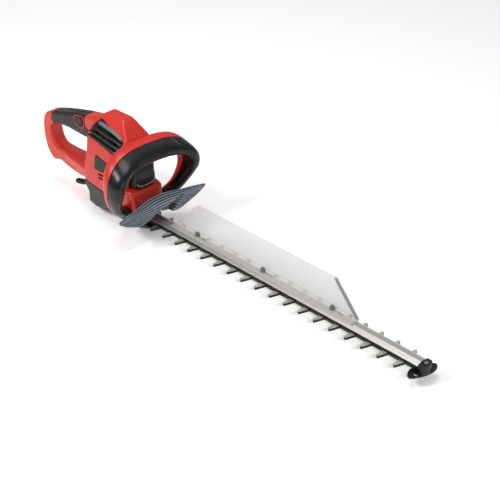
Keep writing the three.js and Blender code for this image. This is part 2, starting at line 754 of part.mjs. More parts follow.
// ---- Tip guard ----
const TIP_OUTLINE = [
  [598, -11, 3],
  [600, -20, 3],
  [604, -28, 4],
  [611, -31.5, 5],
  [616, -27, 3],
  [622, -17, 4],
  [627, -5, 3],
  [BLADE_FRONT + 24, 11, 5],
  [627, 25, 4],
  [619, 31.7, 5],
  [611, 24, 3],
  [606, 11, 3],
];
const HANG_HOLE = [
  [609, -20.5, 2.4],
  [619.2, -20.5, 2.4],
  [619.2, -15.5, 2.4],
  [609, -15.5, 2.4],
];
const hub = join(
  plate(
    [
      [615, -13, 3],
      [624, -13, 5],
      [629.8, 0, 8],
      [624, 13, 5],
      [615, 13, 3],
    ],
    -8,
    11,
  ),
  box(613.4, 622, -12.5, 12.5, 1, 11),
);
piece(
  "tip_guard",
  cut(
    join(plate(TIP_OUTLINE, -9.5, -6.2, [HANG_HOLE]), hub),
    box(600, RAIL_FRONT + GAP, -8.3, 8.3, 0, CARRIER_TOP + GAP),
    box(600, 614.7, -12, 12, -6.2, 1),
    alongTipScrew(2.2, -20, 20),
    alongTipScrew(4.2, 9, 20),
  ),
  BLACK,
);
piece("tip_screw", join(alongTipScrew(1.9, -8, 9.6), alongTipScrew(3.9, 9.3, 12.4)), STEEL);

// ---- Cuttings collector ----
const STUD_X = [66, 242, 411];
const STUD_Y = 3;
const COLLECTOR_TRAVEL = 20;
const SHEET = 1.6;
const collectorProfile = [
  [-9, 12.8, 0],
  [13, 12.8, 2],
  [26, 64, 0],
  [26 - SHEET, 64.4, 0],
  [12, 12.8 + SHEET, 0],
  [-9, 12.8 + SHEET, 0],
];
const collectorOutline = [
  [-2, 12, 0],
  [2, 16, 0],
  [46, 64, 0],
  [52, 66, 0],
  [397, 66, 0],
  [401, 64, 0],
  [462, 16, 0],
  [468, 12, 0],
];
const keyhole = (x) =>
  join(
    rod("z", 5.8, 0, 30, x + COLLECTOR_TRAVEL, STUD_Y, 20),
    box(x, x + COLLECTOR_TRAVEL, STUD_Y - 2.8, STUD_Y + 2.8, 0, 30),
    rod("z", 2.8, 0, 30, x, STUD_Y, 16),
  );
const collectorSheet = overlap(channel(collectorProfile, -2, 468), slab(collectorOutline, -20, 40));
const foldProfile = [
  [6, 12.8],
  [13, 12.8],
  [26, 64],
  [19, 64],
];
const foldOutline = [
  [398.5, 64],
  [401, 64],
  [466, 13],
  [463.5, 13],
];
const endFold = overlap(channel(foldProfile, 380, 468), slab(foldOutline, -20, 40));
piece("collector", cut(join(collectorSheet, endFold), ...STUD_X.map(keyhole)), CLEAR);
STUD_X.forEach((x, i) => {
  const neck = rod("z", 2.4, COVER_TOP + GAP, 17, x, STUD_Y, 16);
  const foot = rod("z", 2.4, COVER_TOP + GAP, COVER_TOP + 1, x, STUD_Y, 16);
  const cap = rod("z", 5, 14.8, 20.5, x, STUD_Y, 20, 4);
  piece(`collector_stud_${i + 1}`, join(neck, foot, cap), BLACK);
});

// ---- Hand guard ----
// Stations across the tool: y, the top edge, the crest and the lower edge, each as x and z.
const GUARD_STATIONS = [
  [0, -48, 57, -22, 54, -42, 14],
  [14, -47.5, 57, -22, 54, -42, 14],
  [28, -45, 56.5, -24, 53, -40, 13],
  [42, -42, 55.5, -27, 52, -37, 12.5],
  [54, -39, 54, -28, 51, -36, 14],
  [72, -35, 53.5, -27, 50, -34, 21],
  [90, -31, 52.5, -25, 49, -30, 31],
  [103, -28, 51.5, -24, 48, -27.5, 40],
  [GUARD_HALF, -27, 50.5, -24, 47.5, -26.5, 44],
];
const GUARD_THICK = 2.4;
function guardRing([y, topX, topZ, crestX, crestZ, lowX, lowZ], side) {
  const middle = [crestX - 3, (crestZ * 2 + lowZ) / 3];
  const inside = [
    [topX, topZ - GUARD_THICK],
    [crestX - GUARD_THICK, crestZ - GUARD_THICK],
    [middle[0] - GUARD_THICK, middle[1]],
    [lowX - GUARD_THICK, lowZ],
  ].reverse();
  const outside = [[topX, topZ], [crestX, crestZ], middle, [lowX, lowZ]];
  return [...outside, ...inside].map(([x, z]) => new THREE.Vector3(x, side * y, z));
}
const guardRings = [
  ...GUARD_STATIONS.slice(1).reverse().map((station) => guardRing(station, -1)),
  ...GUARD_STATIONS.map((station) => guardRing(station, 1)),
];
const guardFoot = (side) => {
  const [y0, y1] = side < 0 ? [-32, -20] : [20, 32];
  const shelf = box(NOSE_FRONT + GAP, -41.2, y0, y1, 14, 16.4);
  return join(shelf, box(NOSE_FRONT + GAP, NOSE_FRONT + 2.7, y0, y1, 14, 38));
};
piece(
  "hand_guard",
  cut(
    join(loft(guardRings), guardFoot(-1), guardFoot(1)),
    guardScrewHole(2.1),
    mirrorY(guardScrewHole(2.1)),
  ),
  SMOKE,
);
const guardScrew = join(
  rod("x", 1.8, -79, NOSE_FRONT + 4, -26, 32, 8),
  rod("x", 3.6, NOSE_FRONT + 3, NOSE_FRONT + 5.5, -26, 32, 12),
);
pair("guard_screw", guardScrew, STEEL);

// ---- Front bail handle ----
// Stations from the top middle to a foot: centre, half-depth, half-thickness, rise of the depth axis,
// and how much thicker the red shell is on the inside of the ring.
const BAIL_STATIONS = [
  [-72, 0, 147, 28, 13, 0.55, 1],
  [-71, 22, 147, 28, 13, 0.55, 1],
  [-68, 44, 146, 28, 13, 0.5, 1],
  [-63, 65, 142, 28, 13, 0.42, 1.1],
  [-58, 82, 132, 27.5, 13, 0.3, 1.3],
  [-55, 93, 117, 27, 13, 0.18, 1.45],
  [-56, 96, 100, 25, 12.5, 0.1, 1.6],
  [-61, 94, 82, 20, 12, 0.05, 1.6],
  [-68, 87, 62, 16, 11, 0, 1.5],
  [-75, 75, 44, 13.5, 10.5, 0, 1.2],
  [-84, 58, 30, 12, 10, 0, 1],
  [-92, 38, 21, 11.5, 10, 0, 1],
];
const RED_SHARE = 0.42; // the red shell starts this far along the half-depth
const ROUNDNESS = 2.6;
function bailRing(centre, along, station, rear, inset) {
  const [depth, thick, rise, innerScale] = station.slice(3);
  const depthAxis = new THREE.Vector3(-1, 0, rise).normalize();
  const thickAxis = new THREE.Vector3().crossVectors(along, depthAxis).normalize();
  depthAxis.crossVectors(thickAxis, along).normalize();
  const a = depth - inset;
  const b = thick - inset;
  const edge = rear ? depth * RED_SHARE + GAP + inset : depth * RED_SHARE - inset;
  const start = Math.acos(Math.pow(edge / a, ROUNDNESS / 2));
  const sweep = rear ? [-start, start] : [start, Math.PI * 2 - start];
  const count = rear ? 9 : 13;
  return Array.from({ length: count }, (_, i) => {
    const angle = sweep[0] + ((sweep[1] - sweep[0]) * i) / (count - 1);
    const [c, s] = [Math.cos(angle), Math.sin(angle)];
    const v = a * Math.sign(c) * Math.pow(Math.abs(c), 2 / ROUNDNESS);
    const inward = rear && s < 0 ? innerScale : 1;
    const w = b * inward * Math.sign(s) * Math.pow(Math.abs(s), 2 / ROUNDNESS);
    return centre.clone().addScaledVector(depthAxis, v).addScaledVector(thickAxis, w);
  });
}
function bailLoft(rear, inset) {
  const leftSide = BAIL_STATIONS.slice(1);
  const rightSide = leftSide.map(([x, y, ...rest]) => [x, -y, ...rest]).reverse();
  const stations = [...rightSide, ...BAIL_STATIONS];
  const curve = new THREE.CatmullRomCurve3(stations.map(([x, y, z]) => new THREE.Vector3(x, y, z)));
  const steps = stations.length - 1;
  return loft(
    stations.map((station, i) =>
      bailRing(curve.getPoint(i / steps), curve.getTangent(i / steps), station, rear, inset),
    ),
  );
}
const bodyClearance = [bodyForm(-GAP), noseForm(-GAP), gearHousingForm(-GAP)];
piece("bail_grip", cut(bailLoft(false, 0), bailLoft(false, 2.6), ...bodyClearance), RUBBER);
piece("bail_shell", cut(bailLoft(true, 0), bailLoft(false, -GAP), ...bodyClearance), RED);

// ---- Front switch paddle ----
const paddleBody = slab(
  [
    [PADDLE.rear, PADDLE.bottom],
    [PADDLE.front, PADDLE.bottom, 9],
    [PADDLE.front + 1, 96, 20],
    [PADDLE.front - 8, PADDLE.top, 12],
    [PADDLE.rear, PADDLE.top],
  ],
  -PADDLE.half,
  PADDLE.half,
  { round: 5 },
);
const paddleHollow = box(PADDLE.rear - 5, PADDLE.front - 14, -PADDLE.topHalf + 3, PADDLE.topHalf - 3, 70, 112);
const paddleSides = channel(paddleFront(0), PADDLE.rear - 5, PADDLE.front + 5);
piece("front_paddle", cut(overlap(paddleBody, paddleSides), paddleHollow), BLACK);
piece("front_microswitch", box(-126, -111.5, -8, 8, 113.5, 121), GREY);

// Stand the tool on z = 0 with the middle of its plan on the origin.
const bounds = new THREE.Box3().setFromObject(tool);
tool.position.set(-(bounds.min.x + bounds.max.x) / 2, 0, -bounds.min.z);

export default tool;
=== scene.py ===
"""Looks of the hedge trimmer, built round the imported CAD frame. Metres, +X to the blade tip, +Z up."""

import bmesh
import bpy
import math
from mathutils import Matrix, Vector


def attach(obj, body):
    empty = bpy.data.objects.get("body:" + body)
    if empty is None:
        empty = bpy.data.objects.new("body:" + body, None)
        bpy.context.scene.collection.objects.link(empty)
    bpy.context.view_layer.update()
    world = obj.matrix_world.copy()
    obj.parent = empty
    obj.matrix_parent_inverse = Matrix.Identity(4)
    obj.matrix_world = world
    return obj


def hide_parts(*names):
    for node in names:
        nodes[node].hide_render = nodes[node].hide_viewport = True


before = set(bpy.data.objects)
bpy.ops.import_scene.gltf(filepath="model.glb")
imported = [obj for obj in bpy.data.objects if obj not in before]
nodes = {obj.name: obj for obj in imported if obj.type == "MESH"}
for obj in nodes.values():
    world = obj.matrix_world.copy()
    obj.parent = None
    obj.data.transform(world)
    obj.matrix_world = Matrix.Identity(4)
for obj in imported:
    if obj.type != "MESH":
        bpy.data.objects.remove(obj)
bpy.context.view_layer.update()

MM = 0.001
# Working coordinates: x from the first exposed tooth, z from the teeth's top face, in millimetres.
SHIFT = Vector((-122.171, 0, 26))


def place(x, y, z):
    return (Vector((x, y, z)) + SHIFT) * MM


# ---------------------------------------------------------------- materials


class Graph:
    """A material's node tree, with short calls for the nodes used here."""

    def __init__(self, name):
        self.material = bpy.data.materials.new(name)
        self.material.use_nodes = True
        self.tree = self.material.node_tree
        self.tree.nodes.clear()
        self.coordinates = self.add("ShaderNodeTexCoord").outputs["Object"]

    def add(self, kind, **settings):
        node = self.tree.nodes.new(kind)
        for key, value in settings.items():
            setattr(node, key, value)
        return node

    def link(self, source, target):
        if isinstance(source, (int, float, tuple)):
            target.default_value = source
        else:
            self.tree.links.new(source, target)

    def scaled(self, scale):
        mapping = self.add("ShaderNodeMapping")
        self.link(self.coordinates, mapping.inputs["Vector"])
        mapping.inputs["Scale"].default_value = scale
        return mapping.outputs["Vector"]

    def noise(self, scale, detail=4.0, stretch=(1, 1, 1), roughness=0.55):
        node = self.add("ShaderNodeTexNoise")
        self.link(self.scaled(stretch), node.inputs["Vector"])
        node.inputs["Scale"].default_value = scale
        node.inputs["Detail"].default_value = detail
        node.inputs["Roughness"].default_value = roughness
        return node.outputs["Fac"]

    def remap(self, value, low, high, to_low=0.0, to_high=1.0):
        node = self.add("ShaderNodeMapRange")
        self.link(value, node.inputs["Value"])
        limits = {"From Min": low, "From Max": high, "To Min": to_low, "To Max": to_high}
        for name, number in limits.items():
            node.inputs[name].default_value = number
        return node.outputs["Result"]

    def maths(self, operation, a, b=0.0):
        node = self.add("ShaderNodeMath", operation=operation)
        self.link(a, node.inputs[0])
        self.link(b, node.inputs[1])
        return node.outputs[0]

    def mix(self, factor, a, b):
        """Colour a where the factor is 0, colour b where it is 1."""
        node = self.add("ShaderNodeMix", data_type="RGBA")
        self.link(factor, node.inputs["Factor"])
        # The node has sockets for every data type; these three are the colour ones.
        self.link(a, node.inputs[6])
        self.link(b, node.inputs[7])
        return node.outputs[2]

    def bump(self, height, strength, distance, normal=None):
        node = self.add("ShaderNodeBump")
        self.link(height, node.inputs["Height"])
        node.inputs["Strength"].default_value = strength
        node.inputs["Distance"].default_value = distance
        if normal is not None:
            self.link(normal, node.inputs["Normal"])
        return node.outputs["Normal"]

    def pointiness(self):
        return self.add("ShaderNodeNewGeometry").outputs["Pointiness"]

    def true_normal(self):
        return self.add("ShaderNodeNewGeometry").outputs["True Normal"]

    def split(self, vector):
        node = self.add("ShaderNodeSeparateXYZ")
        self.link(vector, node.inputs[0])
        return node.outputs

    def shade(self, color, roughness, normal=None, **uniform):
        shader = self.add("ShaderNodeBsdfPrincipled")
        self.link(color, shader.inputs["Base Color"])
        self.link(roughness, shader.inputs["Roughness"])
        if normal is not None:
            self.link(normal, shader.inputs["Normal"])
        for key, value in uniform.items():
            shader.inputs[key.replace("_", " ")].default_value = value
        output = self.add("ShaderNodeOutputMaterial")
        self.link(shader.outputs[0], output.inputs["Surface"])
        return self.material


def tone(color, factor):
    return tuple(min(1.0, c * factor) for c in color[:3]) + (1.0,)


def moulded(name, color, roughness=0.4, variation=0.12, wear=0.25, **uniform):
    """Moulded plastic: fine spark grain, cloudy tone, paler scuffed edges and painted shade in recesses.
    """
    g = Graph(name)
    cloud = g.remap(g.noise(18, 5), 0.3, 0.7)
    base = g.mix(cloud, tone(color, 1 - variation), tone(color, 1 + variation))
    edges = g.remap(g.pointiness(), 0.53, 0.6)
    scuffs = g.maths("MULTIPLY", edges, g.remap(g.noise(160, 6), 0.45, 0.65, 0, wear))
    paler = min(0.28, 0.05 + max(color) * 0.6)
    worn = g.mix(scuffs, base, tone([c * 0.9 + paler for c in color[:3]], 1))
    # Painted shade: recesses darkened towards a third of the base tone.
    painted_hollow_shade = g.remap(g.pointiness(), 0.47, 0.42, 0, 0.5)
    final = g.mix(painted_hollow_shade, worn, tone(color, 0.35))
    rough = g.remap(g.noise(45, 5), 0.3, 0.7, roughness - 0.07, roughness + 0.09)
    unevenness = g.bump(g.noise(30, 2), 0.05, 0.002)
    normal = g.bump(g.noise(1400, 3), 0.12, 0.0003, unevenness)
    return g.shade(final, rough, normal, **uniform)


def rubber(name, color, pattern=None, roughness=0.42):
    """Soft-touch grip: matt, with a fine pebbled skin and, where a pattern is given, moulded ribs."""
    g = Graph(name)
    cloud = g.remap(g.noise(25, 4), 0.3, 0.7)
    base = g.mix(cloud, tone(color, 0.8), tone(color, 1.25))
    dust = g.remap(g.noise(320, 6), 0.55, 0.8, 0, 0.25)
    base = g.mix(dust, base, tone([c + 0.035 for c in color[:3]], 1))
    skin = g.add("ShaderNodeTexVoronoi")
    g.link(g.coordinates, skin.inputs["Vector"])
    skin.inputs["Scale"].default_value = 900
    normal = g.bump(skin.outputs["Distance"], 0.03, 0.0002)
    if pattern:
        normal = g.bump(pattern(g), 0.6, 0.0008, normal)
    rough = g.remap(g.noise(60, 4), 0.3, 0.7, roughness - 0.05, roughness + 0.06)
    return g.shade(base, rough, normal, Specular_IOR_Level=0.34)


def brushed(name, color, roughness, stretch, stain=0.15, painted_side_shade=None, metallic=1.0):
    """Metal with drawn or ground lines, faint stains and, where asked, painted shade on upright faces.
    """
    g = Graph(name)
    lines = g.noise(2600, 5, stretch, 0.7)
    cloud = g.remap(g.noise(35, 6), 0.35, 0.75, 0, stain)
    base = g.mix(cloud, tone(color, 1), tone(color, 0.45))
    base = g.mix(g.remap(lines, 0.3, 0.7, 0, 0.25), base, tone(color, 1.25))
    if painted_side_shade:
        # Painted shade: faces that stand upright are darkened towards the given colour.
        level = g.maths("ABSOLUTE", g.split(g.true_normal())["Z"])
        upright = g.remap(level, 0.85, 0.5)
        base = g.mix(upright, base, painted_side_shade)
    rough = g.remap(lines, 0.3, 0.7, roughness - 0.08, roughness + 0.12)
    return g.shade(base, rough, g.bump(lines, 0.15, 0.0002), Metallic=metallic)


RED = moulded("red_moulding", (0.56, 0.024, 0.013), roughness=0.33, variation=0.08, wear=0.16)
BLACK = moulded(
    "black_moulding",
    (0.0055, 0.0052, 0.005),
    roughness=0.34,
    variation=0.2,
    wear=0.1,
    Specular_IOR_Level=0.35,
)
GREY = moulded("grey_moulding", (0.026, 0.024, 0.023), roughness=0.45, variation=0.15, wear=0.12)
PLATE = moulded(
    "plate_moulding",
    (0.0045, 0.0045, 0.0045),
    roughness=0.34,
    variation=0.15,
    wear=0.05,
    Specular_IOR_Level=0.3,
)
FIN = moulded("vent_fin_moulding", (0.0075, 0.0072, 0.007), roughness=0.28, variation=0.2, wear=0.08)
TOP_FIN = moulded("top_fin_moulding", (0.13, 0.125, 0.125), roughness=0.42, variation=0.12, wear=0.1)
STUD = moulded("stud_moulding", (0.12, 0.12, 0.115), roughness=0.4, variation=0.15, wear=0.2)
LIP = moulded("lip_moulding", (0.30, 0.29, 0.27), roughness=0.3, variation=0.1)
GRIP = rubber("handle_grip", (0.0105, 0.0085, 0.008))
BAIL_RIB_RATE = 2400.0  # radians per metre, so a rib every 2.6 mm


def bail_ribs(g):
    """Ribs over the top of the bail, which fade out before its sides."""
    across = g.split(g.coordinates)["Y"]
    wave = g.maths("SINE", g.maths("MULTIPLY", across, BAIL_RIB_RATE))
    reach = g.remap(g.maths("ABSOLUTE", across), 0.068, 0.050)
    return g.maths("MULTIPLY", wave, reach)


BAIL_GRIP = rubber("bail_grip_rubber", (0.0045, 0.0042, 0.004), bail_ribs, 0.27)
STEEL = brushed(
    "ground_steel",
    (0.60, 0.58, 0.54),
    0.38,
    (1, 0.03, 1),
    stain=0.5,
    metallic=0.65,
    painted_side_shade=(0.020, 0.018, 0.017, 1),
)
SCREW = brushed("screw_steel", (0.36, 0.35, 0.33), 0.35, (1, 1, 1))
RAIL = brushed("dark_rail", (0.018, 0.017, 0.016), 0.4, (0.02, 1, 1))
COPPER = brushed("winding_copper", (0.55, 0.22, 0.09), 0.35, (1, 1, 0.05))


def rolled_aluminium():
    """The cover strip: drawn lines along it, painted shade near the housing, paler to the tip."""
    g = Graph("blade_cover_aluminium")
    lines = g.noise(2200, 4, (0.012, 1, 1), 0.6)
    x = g.split(g.coordinates)["X"]
    along = g.remap(x, -0.17, 0.22)
    base = g.mix(along, (0.36, 0.36, 0.35, 1), (0.54, 0.52, 0.50, 1))
    # Painted shade: the cover darkened towards the housing end, with a ragged edge.
    ragged_x = g.maths("ADD", x, g.remap(g.noise(40, 4), 0, 1, -0.02, 0.02))
    painted_shade_near_housing = g.remap(ragged_x, -0.135, -0.165)
    base = g.mix(painted_shade_near_housing, base, (0.13, 0.115, 0.10, 1))
    base = g.mix(g.remap(lines, 0.3, 0.7, 0, 0.16), base, (0.22, 0.22, 0.21, 1))
    rough = g.remap(lines, 0.3, 0.7, 0.30, 0.44)
    return g.shade(base, rough, g.bump(lines, 0.10, 0.0002), Metallic=0.7)


ALUMINIUM = rolled_aluminium()
CAST = brushed("cast_alloy", (0.55, 0.54, 0.52), 0.45, (1, 1, 1))

RIBS = 10  # down the hand guard


def smoked(name, low, high, ribs):
    """Smoke-tinted guard plastic, with painted highlights on the rib crests and painted shade in the
    troughs where asked; UV's second axis counts them.
    """
    g = Graph(name)
    cloud = g.remap(g.noise(22, 5), 0.3, 0.7)
    base = g.mix(cloud, low, high)
    grain = g.noise(900, 4, (1, 0.08, 1))
    normal = g.bump(grain, 0.12, 0.0003)
    if ribs:
        down = g.split(g.add("ShaderNodeTexCoord").outputs["UV"])["Y"]
        wave = g.maths("SINE", g.maths("MULTIPLY", down, math.tau * RIBS))
        streak = g.remap(g.noise(110, 3, (1, 0.3, 1)), 0.35, 0.6, 0.6, 1.0)
        # Painted highlight: the rib crests lightened to a pale blue, in streaks.
        pale = g.maths("MULTIPLY", g.remap(wave, 0.0, 0.7), streak)
        base = g.mix(pale, base, (0.34, 0.40, 0.48, 1))
        # Painted shade: the rib troughs darkened towards black.
        base = g.mix(g.remap(wave, 0.1, -0.7, 0, 0.9), base, (0.010, 0.012, 0.018, 1))
    rough = g.remap(g.noise(70, 4), 0.3, 0.7, 0.24, 0.4)
    return g.shade(base, rough, normal, IOR=1.49)


# Across the collector's slanted sheet, so that faces turned another way are its cut edges.
SHEET_NORMAL = Vector((0, 51.2, -13)).normalized()


def frosted():
    """The collector's clear sheet: milky, faintly scratched, with denser cut edges."""
    g = Graph("frosted_sheet")
    scratches = g.noise(500, 5, (0.2, 1, 1))
    cloud = g.remap(g.noise(9, 3), 0.3, 0.7)
    base = g.mix(cloud, (0.59, 0.575, 0.56, 1), (0.64, 0.625, 0.61, 1))
    rough = g.remap(scratches, 0.3, 0.7, 0.22, 0.36)
    facing = g.add("ShaderNodeVectorMath", operation="DOT_PRODUCT")
    g.link(g.true_normal(), facing.inputs[0])
    facing.inputs[1].default_value = SHEET_NORMAL
    slanted = g.maths("ABSOLUTE", facing.outputs["Value"])
    level = g.maths("ABSOLUTE", g.split(g.true_normal())["Z"])
    edge = g.remap(g.maths("MAXIMUM", slanted, level), 0.93, 0.80)
    base = g.mix(edge, base, (0.26, 0.26, 0.255, 1))
    material = g.shade(base, rough, g.bump(scratches, 0.04, 0.0002), IOR=1.45)
    shader = next(n for n in g.tree.nodes if n.type == "BSDF_PRINCIPLED")
    alpha = g.maths("MAXIMUM", g.remap(cloud, 0, 1, 0.40, 0.46), g.maths("MULTIPLY", edge, 0.78))
    g.link(alpha, shader.inputs["Alpha"])
    return material


SMOKE = smoked("smoked_guard", (0.075, 0.090, 0.115, 1), (0.12, 0.14, 0.175, 1), True)
# Painted shade in the guard's well: brown in its upper part, near black deeper down.
WELL_BROWN_SHADE = smoked("smoked_guard_well_shade", (0.10, 0.088, 0.070, 1), (0.16, 0.145, 0.12, 1), False)
WELL_DEEP_SHADE = smoked("smoked_guard_shade", (0.010, 0.014, 0.012, 1), (0.022, 0.028, 0.025, 1), False)
FROSTED = frosted()

# ---------------------------------------------------------------- mesh helpers


def mesh_object(name, vertices, faces, material):
    data = bpy.data.meshes.new(name)
    data.from_pydata([tuple(v) for v in vertices], [], faces)
    data.validate()
    data.update()
    for polygon in data.polygons:
        polygon.use_smooth = True
    data.materials.append(material)
    obj = bpy.data.objects.new(name, data)
    bpy.context.scene.collection.objects.link(obj)
    return obj


def lofted(name, rings, material, closed_ends=True):
    """A skin over equal rings of points, in working millimetres."""
    count = len(rings[0])
    vertices = [place(*p) for ring in rings for p in ring]
    faces = []
    for r in range(len(rings) - 1):
        for i in range(count):
            j = (i + 1) % count
            a = r * count
            b = a + count
            faces.append((a + i, a + j, b + j, b + i))
    if closed_ends:
        faces.append(tuple(range(count))[::-1])
        faces.append(tuple(range((len(rings) - 1) * count, len(rings) * count)))
    obj = mesh_object(name, vertices, faces, material)
    fix_normals(obj)
    return obj


def fix_normals(obj):
    bm = bmesh.new()
    bm.from_mesh(obj.data)
    bmesh.ops.recalc_face_normals(bm, faces=bm.faces)
    bm.to_mesh(obj.data)
    bm.free()


def catmull(points, steps):
    """Points on a smooth curve through the given tuples, `steps` to each span."""
    out = []
    last = len(points) - 1
    for i in range(last):
        p = [points[max(i - 1, 0)], points[i], points[i + 1], points[min(i + 2, last)]]
        for k in range(steps):
            t = k / steps
            out.append(
                tuple(
                    0.5
                    * (
                        2 * b
                        + (c - a) * t
                        + (2 * a - 5 * b + 4 * c - d) * t * t
                        + (3 * b - a - 3 * c + d) * t**3
                    )
                    for a, b, c, d in zip(*p)
                )
            )
    out.append(tuple(points[-1]))
    return out


def modifier(obj, kind, **settings):
    mod = obj.modifiers.new(kind.lower(), kind)
    for key, value in settings.items():
        setattr(mod, key, value)
    return mod


def bevelled(obj, width, segments, degrees):
    """Rounds the edges sharper than an angle."""
    limit = math.radians(degrees)
    settings = {"limit_method": "ANGLE", "angle_limit": limit}
    modifier(obj, "BEVEL", width=width, segments=segments, **settings)


def remeshed(obj, voxel, relax):
    """Joins touching solids into one skin and eases its edges."""
    modifier(obj, "REMESH", mode="VOXEL", voxel_size=voxel, use_smooth_shade=True)
    modifier(obj, "SMOOTH", factor=0.5, iterations=relax)


def dress(node, material, bevel=0.0, voxel=0.0, relax=0):
    """A CAD node keeps its own shape and gets its finish, softened edges and smooth shading."""
    obj = nodes[node]
    obj.data.materials.clear()
    obj.data.materials.append(material)
    if voxel:
        remeshed(obj, voxel, relax)
    if bevel:
        bevelled(obj, bevel, 2, 35)
        modifier(obj, "WEIGHTED_NORMAL", keep_sharp=True)


# ---------------------------------------------------------------- finishes of the CAD pieces

FINE = 0.0009
METAL_EDGE = 0.0003
THIN_EDGE = 0.0004
SMALL_EDGE = 0.0005
PLASTIC_EDGE = 0.0006

for node in ("grip_right", "grip_left"):
    dress(node, GRIP, voxel=FINE, relax=4)
dress("gear_housing", GREY, voxel=FINE, relax=6)
dress("base_cover", BLACK, voxel=FINE, relax=6)
dress("front_paddle", BLACK, voxel=0.0009, relax=6)
for node in ("badge_right", "badge_left"):
    dress(node, PLATE, bevel=THIN_EDGE)
for node in ("vent_grille_right", "vent_grille_left"):
    dress(node, BLACK, bevel=METAL_EDGE)
for node in ("trigger", "tip_guard"):
    dress(node, BLACK, bevel=PLASTIC_EDGE)
dress("lock_button", BLACK, bevel=SMALL_EDGE)
dress("cord_gland", BLACK, bevel=THIN_EDGE)
for i in (1, 2, 3):
    dress(f"collector_stud_{i}", STUD, bevel=SMALL_EDGE)
    dress(f"housing_screw_{i}", SCREW, bevel=METAL_EDGE)
    dress(f"base_screw_{i}", SCREW, bevel=METAL_EDGE)
for i in range(1, 7):
    dress(f"guide_bolt_{i}", SCREW, bevel=METAL_EDGE)
for node in ("tip_screw", "guard_screw_right", "guard_screw_left"):
    dress(node, SCREW, bevel=METAL_EDGE)
for node in ("blade_upper", "blade_lower"):
    dress(node, STEEL, bevel=METAL_EDGE)
dress("carrier_rail", RAIL, bevel=THIN_EDGE)
dress("blade_cover", ALUMINIUM, bevel=METAL_EDGE)
dress("collector", FROSTED)
dress("gear_plate", CAST)
for node in ("stator", "armature", "commutator", "brush_holder_right", "brush_holder_left"):
    dress(node, COPPER)
for node in ("bearing_lower", "bearing_upper", "pinion", "drive_gear", "gear_axle"):
    dress(node, SCREW)
for node in ("eccentric_upper", "eccentric_lower"):
    dress(node, SCREW)
for node in ("fan", "brush_right", "brush_left", "rear_switch", "capacitor", "front_microswitch"):
    dress(node, BLACK)


def on_tool(obj, slot, *replaced):
    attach(obj, "tool_body")
    if replaced:
        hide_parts(*replaced)


# ---------------------------------------------------------------- red housing

ON_SEAM = 0.0002  # vertices this near the middle plane lie on the parting line
SEAM_OVERLAP = 0.0005


def joined_housing():
    """Both red shells as they look screwed together: the parting line closed and the edges eased."""
    bm = bmesh.new()
    for side, node in ((1, "housing_right"), (-1, "housing_left")):
        start = len(bm.verts)
        bm.from_mesh(nodes[node].data)
        bm.verts.ensure_lookup_table()
        for v in bm.verts[start:]:
            if abs(v.co.y) < ON_SEAM:
                v.co.y = side * SEAM_OVERLAP
    data = bpy.data.meshes.new("housing_visual")
    bm.to_mesh(data)
    bm.free()
    data.materials.append(RED)
    obj = bpy.data.objects.new("housing_visual", data)
    bpy.context.scene.collection.objects.link(obj)
    remeshed(obj, FINE, 4)
    return obj


on_tool(joined_housing(), "red_plastic", "housing_right", "housing_left")

# ---------------------------------------------------------------- vent fins

# Each fin: points (x, z) along its middle, its height, and how far it stands out of the body's side.
FINS = [
    ([(-181, 177), (-150, 174), (-124, 170), (-109, 165)], 8.0, 3.0),
    ([(-193, 167), (-160, 163.5), (-126, 159.5), (-106, 156.5)], 5.6, 4.6),
    ([(-199, 158), (-165, 154.5), (-132, 149.5), (-111, 146.5)], 5.6, 5.2),
    ([(-201, 149.5), (-170, 146), (-138, 140.5), (-117, 137)], 5.6, 4.8),
]


# The red body round the vents: half-widths at three heights, of which the lower two taper forwards.
LOW_Z, MIDDLE_Z, HIGH_Z = 140, 165, 194
LOW_HALF, MIDDLE_HALF, HIGH_HALF = 40, 32, 14
TAPER = 4
TAPER_START = -203
TAPER_LENGTH = 106
FIN_ROOT = 3.5  # how deep a fin starts inside the body


def body_side(x, z):
    """Half-width of the red body at a place from LOW_Z up."""
    share = min(max((x - TAPER_START) / TAPER_LENGTH, 0), 1)
    low = LOW_HALF - TAPER * share
    middle = MIDDLE_HALF - TAPER * share
    if z < MIDDLE_Z:
        return low + (middle - low) * (z - LOW_Z) / (MIDDLE_Z - LOW_Z)
    return middle + (HIGH_HALF - middle) * (z - MIDDLE_Z) / (HIGH_Z - MIDDLE_Z)


def vent_fin(name, side, line, height, reach, material):
    """One louvre fin, which thins and sinks back at both ends."""
    stations = catmull(line, 7)
    rings = []
    for k, (x, z) in enumerate(stations):
        t = k / (len(stations) - 1)
        ends = math.sin(math.pi * min(max(t, 0.02), 0.98)) ** 0.35
        out = reach * (0.35 + 0.65 * ends)
        half = height / 2 * (0.5 + 0.5 * ends)
        profile = [
            (-FIN_ROOT, half * 0.8),
            (out * 0.55, half),
            (out, half * 0.45),
            (out * 0.96, -half * 0.55),
            (-FIN_ROOT, -half),
        ]
        rings.append([(x, side * (body_side(x, z + dz) + dy), z + dz) for dy, dz in profile])
    fin = lofted(name, rings, material)
    bevelled(fin, 0.0009, 3, 25)
    on_tool(fin, "black_plastic")


for side, label in ((-1, "right"), (1, "left")):
    for number, (line, height, reach) in enumerate(FINS, 1):
        material = TOP_FIN if number == 1 else FIN
        vent_fin(f"vent_fin_{label}_{number}", side, line, height, reach, material)

# ---------------------------------------------------------------- strips: button frame and paddle lip


BEAD_SIDES = 10
BEAD_FLATNESS = 0.7


